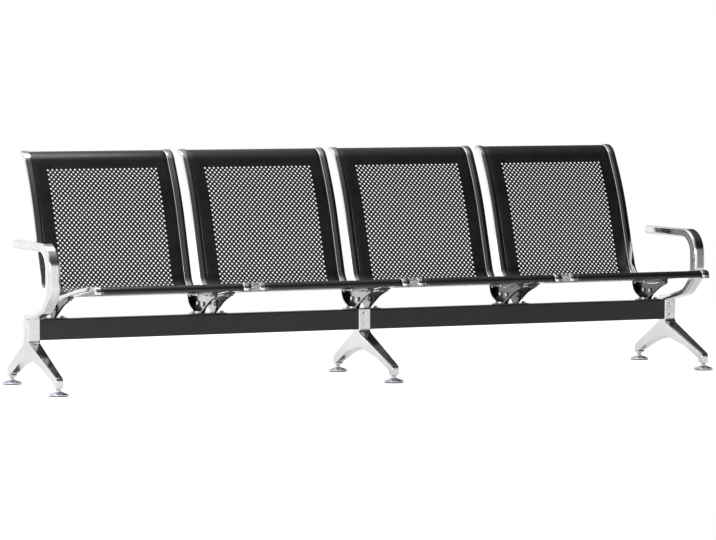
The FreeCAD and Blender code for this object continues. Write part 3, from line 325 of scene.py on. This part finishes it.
class Blank:
    """The seat's sheet as it is punched flat, kept as points and faces of its middle layer.

    Its points lie on a lattice of columns and rows. Rows 0 to last cross the holes.
    """

    def __init__(self, track):
        self.track = track
        self.points, self.spots, self.faces = [], {}, []
        self.rows, self.last = self.row_lengths()
        self.order = sorted(self.rows)

    def row_lengths(self):
        """How far along the sheet each row lies, and the number of the last row that crosses holes."""
        top = self.track.rising_past(FIELD_TOP_HEIGHT)
        last = 2 * round((top - FIELD_FRONT_MARGIN) / HALF_ALONG / 2)
        front = top - last * HALF_ALONG
        rows = {row: front + row * HALF_ALONG for row in range(-1, last + 2)}
        before, after, end = rows[-1], rows[last + 1], self.track.lengths[-1]
        count = math.ceil(before / MARGIN_STEP)
        rows.update({-1 - k: before - before * k / count for k in range(1, count + 1)})
        count = math.ceil((end - after) / MARGIN_STEP)
        rows.update({last + 1 + k: after + (end - after) * k / count for k in range(1, count + 1)})
        return rows, last

    def point(self, across, along, depth=0.0):
        spot, down = self.track.at(along)
        self.points.append(Vector((across, 0, 0)) + spot + down * depth)
        return len(self.points) - 1

    def corner(self, column, row):
        """The lattice point in that column and row, made once. A border column is (across, depth)."""
        if (column, row) not in self.spots:
            across, depth = (column * HALF_ACROSS, 0.0) if isinstance(column, int) else column
            self.spots[column, row] = self.point(across, self.rows[row], depth)
        return self.spots[column, row]

    def hole(self, column, row):
        """One hole in its diamond of sheet."""
        across, along, reach = column * HALF_ACROSS, self.rows[row], HOLE / 2
        turns = [2 * math.pi * k / HOLE_STEPS for k in range(HOLE_STEPS)]
        ring = [self.point(across + reach * math.cos(a), along + reach * math.sin(a)) for a in turns]
        corners = [self.corner(column + x, row + y) for x, y in ((1, 0), (0, 1), (-1, 0), (0, -1))]
        quarter = HOLE_STEPS // 4
        for k in range(4):
            arc = [ring[(k * quarter + i) % HOLE_STEPS] for i in range(quarter, -1, -1)]
            self.faces.append([corners[k], corners[(k + 1) % 4], *arc])

    def field(self):
        """All the holes, one row after the other, every second row moved by a half step."""
        for row in range(self.last + 1):
            reach = FIELD_HALF - 1 - row % 2
            for column in range(-reach, reach + 1, 2):
                self.hole(column, row)

    def strip(self, inner, outer, side):
        """Faces between two neighbouring chains of points, on that side of the holes."""
        near, far = (inner, outer) if side < 0 else (outer, inner)
        for k in range(len(near) - 1):
            self.faces.append([near[k], near[k + 1], far[k + 1], far[k]])

    def side_border(self, side):
        """The plain sheet beside the holes and the edge that is folded down."""
        columns = [(side * across, depth) for across, depth in border_columns()]
        chains = [[self.corner(column, row) for row in self.order] for column in columns]
        for inner, outer in zip(chains, chains[1:]):
            self.strip(inner, outer, side)
        toothed = []
        for row in self.order:
            step_in = row % 2 if 0 <= row <= self.last else 1
            toothed.append(self.corner(side * (FIELD_HALF - step_in), row))
        self.strip(chains[0], toothed, -side)

    def end_border(self, edge, toward):
        """The plain sheet from the row at the edge of the holes to the end, ahead of or above them."""
        rim = self.order[0] if toward < 0 else self.order[-1]
        for column in range(-FIELD_HALF + 1, FIELD_HALF - 1, 2):
            notch = self.corner(column + 1, edge - toward)
            face = [self.corner(column, edge), notch, self.corner(column + 2, edge),
                    self.corner(column + 2, edge + toward), self.corner(column, edge + toward)]
            self.faces.append(face if toward < 0 else face[::-1])
            for row in range(edge + toward, rim, toward):
                quad = [self.corner(column, row), self.corner(column + 2, row),
                        self.corner(column + 2, row + toward), self.corner(column, row + toward)]
                self.faces.append(quad if toward > 0 else quad[::-1])


def border_columns():
    """Columns from beside the holes out to the folded edge, as (across, depth below the sheet)."""
    edge = sheet_half - SHEET_WALL / 2
    turn = edge - FOLD_RADIUS
    beside = HALF_ACROSS * (FIELD_HALF + 1)
    columns = [(beside, 0.0), ((beside + turn) / 2, 0.0)]
    for k in range(FOLD_STEPS + 1):
        angle = math.pi / 2 * k / FOLD_STEPS
        columns.append((turn + FOLD_RADIUS * math.sin(angle), FOLD_RADIUS * (1 - math.cos(angle))))
    columns.append((edge, SHEET_FLANGE - SHEET_WALL / 2))
    return columns


def pressed_sheet(material):
    """The mesh that the four seats share: the punched blank with its wall."""
    blank = Blank(Track())
    blank.field()
    for side in (-1, 1):
        blank.side_border(side)
    blank.end_border(-1, -1)
    blank.end_border(blank.last + 1, 1)
    skin = piece("sheet_skin", blank.points, blank.faces, material)
    thicken = skin.modifiers.new("wall", "SOLIDIFY")
    thicken.thickness = SHEET_WALL
    thicken.offset = 0
    sheet = bpy.data.meshes.new_from_object(skin.evaluated_get(bpy.context.evaluated_depsgraph_get()))
    sheet.name = "seat_sheet"
    sheet.set_sharp_from_angle(angle=FOLD_EDGE)
    bpy.data.objects.remove(skin)
    return sheet


seat_black = grained("seat_black_powder", colours=((0.007, 0.007, 0.008), (0.010, 0.010, 0.0115)),
                     blotches=50, gloss=(0.24, 0.34), patches=14, relief=0.00004, grain=650,
                     Specular_IOR_Level=0.9, Coat_Weight=0.5, Coat_Roughness=0.15)
seat_sheet = pressed_sheet(seat_black)
for number in SEATS:
    node = f"seat_{number}_sheet"
    low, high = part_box(node)
    seat = bpy.data.objects.new(f"perforated_seat_{number}", seat_sheet)
    bpy.context.scene.collection.objects.link(seat)
    seat.location.x = (low.x + high.x) / 2
    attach(seat, "root")
    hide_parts(node)

# The fasteners: hexagon bolts and screws, chrome plated on the legs' faces and zinc plated elsewhere.
# The leg screws are tapped into the beam, and the others are bolted or tapped where two pieces meet.
bolt_chrome = plating("chrome_on_bolts", waves=90, wave_depth=0.0001)
coat(["leg_screws"], bolt_chrome)
coat(["armrest_bolts", "saddle_screws", "bracket_screws", "web_bolts"], zinc)
coat([f"seat_{number}_sheet_screws" for number in SEATS], zinc)

# The surround: bright behind and overhead, dimmer high up toward the right, with a bright band low in
# front and a dark part above it, so that chrome mirrors light and dark. The camera itself sees white.
world = bpy.data.worlds.new("studio")
bpy.context.scene.world = world
world.use_nodes = True
sky = world.node_tree
direction, split = sky.nodes.new("ShaderNodeTexCoord"), sky.nodes.new("ShaderNodeSeparateXYZ")
sky.links.new(direction.outputs["Generated"], split.inputs["Vector"])


def ramp_over(axis, start, end, low, high):
    """A smooth change of brightness between two values of the direction's part along an axis."""
    ramp = map_range(sky, split.outputs[axis], start, end, low, high)
    ramp.interpolation_type = "SMOOTHSTEP"
    return ramp.outputs["Result"]


def combined(operation, *lights):
    """Brightnesses as the largest of them (MAXIMUM) or as each dimmed by the next (MULTIPLY)."""
    total = lights[0]
    for light in lights[1:]:
        node = sky.nodes.new("ShaderNodeMath")
        node.operation = operation
        sky.links.new(total, node.inputs[0])
        sky.links.new(light, node.inputs[1])
        total = node.outputs["Value"]
    return total


rear_light = ramp_over("Y", start=-0.72, end=0.05, low=0.16, high=1.0)
near_horizon = ramp_over("Z", start=0.12, end=0.36, low=1.0, high=0.0)
overhead = ramp_over("Z", start=0.80, end=0.95, low=0.05, high=1.0)
left_half = ramp_over("X", start=-0.10, end=0.25, low=1.0, high=0.0)
right_middle = ramp_over("X", start=0.36, end=0.485, low=0.42, high=0.05)
low_light = combined("MULTIPLY", rear_light, near_horizon)
high_light = combined("MULTIPLY", combined("MAXIMUM", rear_light, overhead),
                      combined("MAXIMUM", left_half, right_middle))
above_floor = ramp_over("Z", start=-0.45, end=-0.25, low=0.0, high=1.0)
below_eye = ramp_over("Z", start=0.28, end=0.46, low=1.0, high=0.0)
short_of_right = ramp_over("X", start=0.30, end=0.50, low=1.0, high=0.20)
front_band = combined("MULTIPLY", above_floor, below_eye, short_of_right)
seen_directly = sky.nodes.new("ShaderNodeLightPath").outputs["Is Camera Ray"]
surround = combined("MAXIMUM", low_light, high_light, front_band, seen_directly)
sky.links.new(surround, sky.nodes["Background"].inputs["Color"])

# The floor: a matt white board under the bench. It glows for the camera so that it turns white around the
# bench's shadow, and glows less where the metal mirrors it.
FLOOR_HALF, FLOOR_FRONT, FLOOR_REAR = 9.0, -3.7, 2.5
FLOOR_DROP = 0.0005
FLOOR_GLOW, GLOW_IN_MIRRORS = 0.80, 0.35
floor_white = coating("white_floor", Roughness=0.9)
vary_colour(floor_white, mottle(floor_white, per_metre=3), (0.93, 0.93, 0.93), (0.94, 0.94, 0.94))
board = floor_white.node_tree
ray, glow, both = (board.nodes.new("ShaderNode" + kind) for kind in ("LightPath", "Emission", "AddShader"))
mirrored = map_range(board, ray.outputs["Is Glossy Ray"], 0.0, 1.0, 0.0, GLOW_IN_MIRRORS)
larger = board.nodes.new("ShaderNodeMath")
larger.operation = "MAXIMUM"
glow.inputs["Strength"].default_value = FLOOR_GLOW
board.links.new(ray.outputs["Is Camera Ray"], larger.inputs[0])
board.links.new(mirrored.outputs["Result"], larger.inputs[1])
board.links.new(larger.outputs["Value"], glow.inputs["Color"])
board.links.new(board.nodes["Principled BSDF"].outputs["BSDF"], both.inputs[0])
board.links.new(glow.outputs["Emission"], both.inputs[1])
board.links.new(both.outputs["Shader"], board.nodes["Material Output"].inputs["Surface"])
floor_corners = [(-FLOOR_HALF, FLOOR_FRONT, -FLOOR_DROP), (FLOOR_HALF, FLOOR_FRONT, -FLOOR_DROP),
                 (FLOOR_HALF, FLOOR_REAR, -FLOOR_DROP), (-FLOOR_HALF, FLOOR_REAR, -FLOOR_DROP)]
floor = piece("floor", floor_corners, [(0, 1, 2, 3)], floor_white)

# The lamps: a round one over the left half, a square one out to the front left, and a low strip well
# behind the bench, which the middle leg mirrors in its side.


def lamp(name, shape, size, watts, place, target):
    """A soft flat lamp that looks at its target and isn't itself in the picture."""
    data = bpy.data.lights.new(name, "AREA")
    data.shape, data.energy = shape, watts
    data.size, data.size_y = size
    obj = bpy.data.objects.new(name, data)
    bpy.context.scene.collection.objects.link(obj)
    obj.location = place
    obj.rotation_euler = (Vector(target) - obj.location).to_track_quat("-Z", "Y").to_euler()
    obj.visible_camera = False


lamp("overhead", "DISK", size=(1.4, 1.4), watts=7.0, place=(-0.7, 0.6, 2.7), target=(-0.8, 0.2, 0.4))
lamp("front_left", "RECTANGLE", size=(1.6, 1.6), watts=40.0, place=(-3.4, -2.6, 1.3), target=(-0.8, 0.0, 0.3))
lamp("strip", "RECTANGLE", size=(0.85, 0.35), watts=2.0, place=(-1.48, beam_y + 2.8, 0.18),
     target=(-0.4, beam_y, 0.28))

# The camera: far out to the front left with a long lens, a little over a metre high, which is the
# photograph's view of the bench.
EYE = (-5.1007, beam_y - 11.3522, 1.121)
LOOK_DOWN, LOOK_RIGHT = 0.0602, 0.4212
camera_data = bpy.data.cameras.new("camera")
camera_data.lens, camera_data.sensor_width = 179.93, 36.0
camera_data.clip_end = 200.0
camera = bpy.data.objects.new("camera", camera_data)
bpy.context.scene.collection.objects.link(camera)
camera.location = EYE
camera.rotation_euler = (math.pi / 2 - LOOK_DOWN, 0.0, -LOOK_RIGHT)
bpy.context.scene.camera = camera
bpy.context.scene.view_settings.view_transform = "Standard"
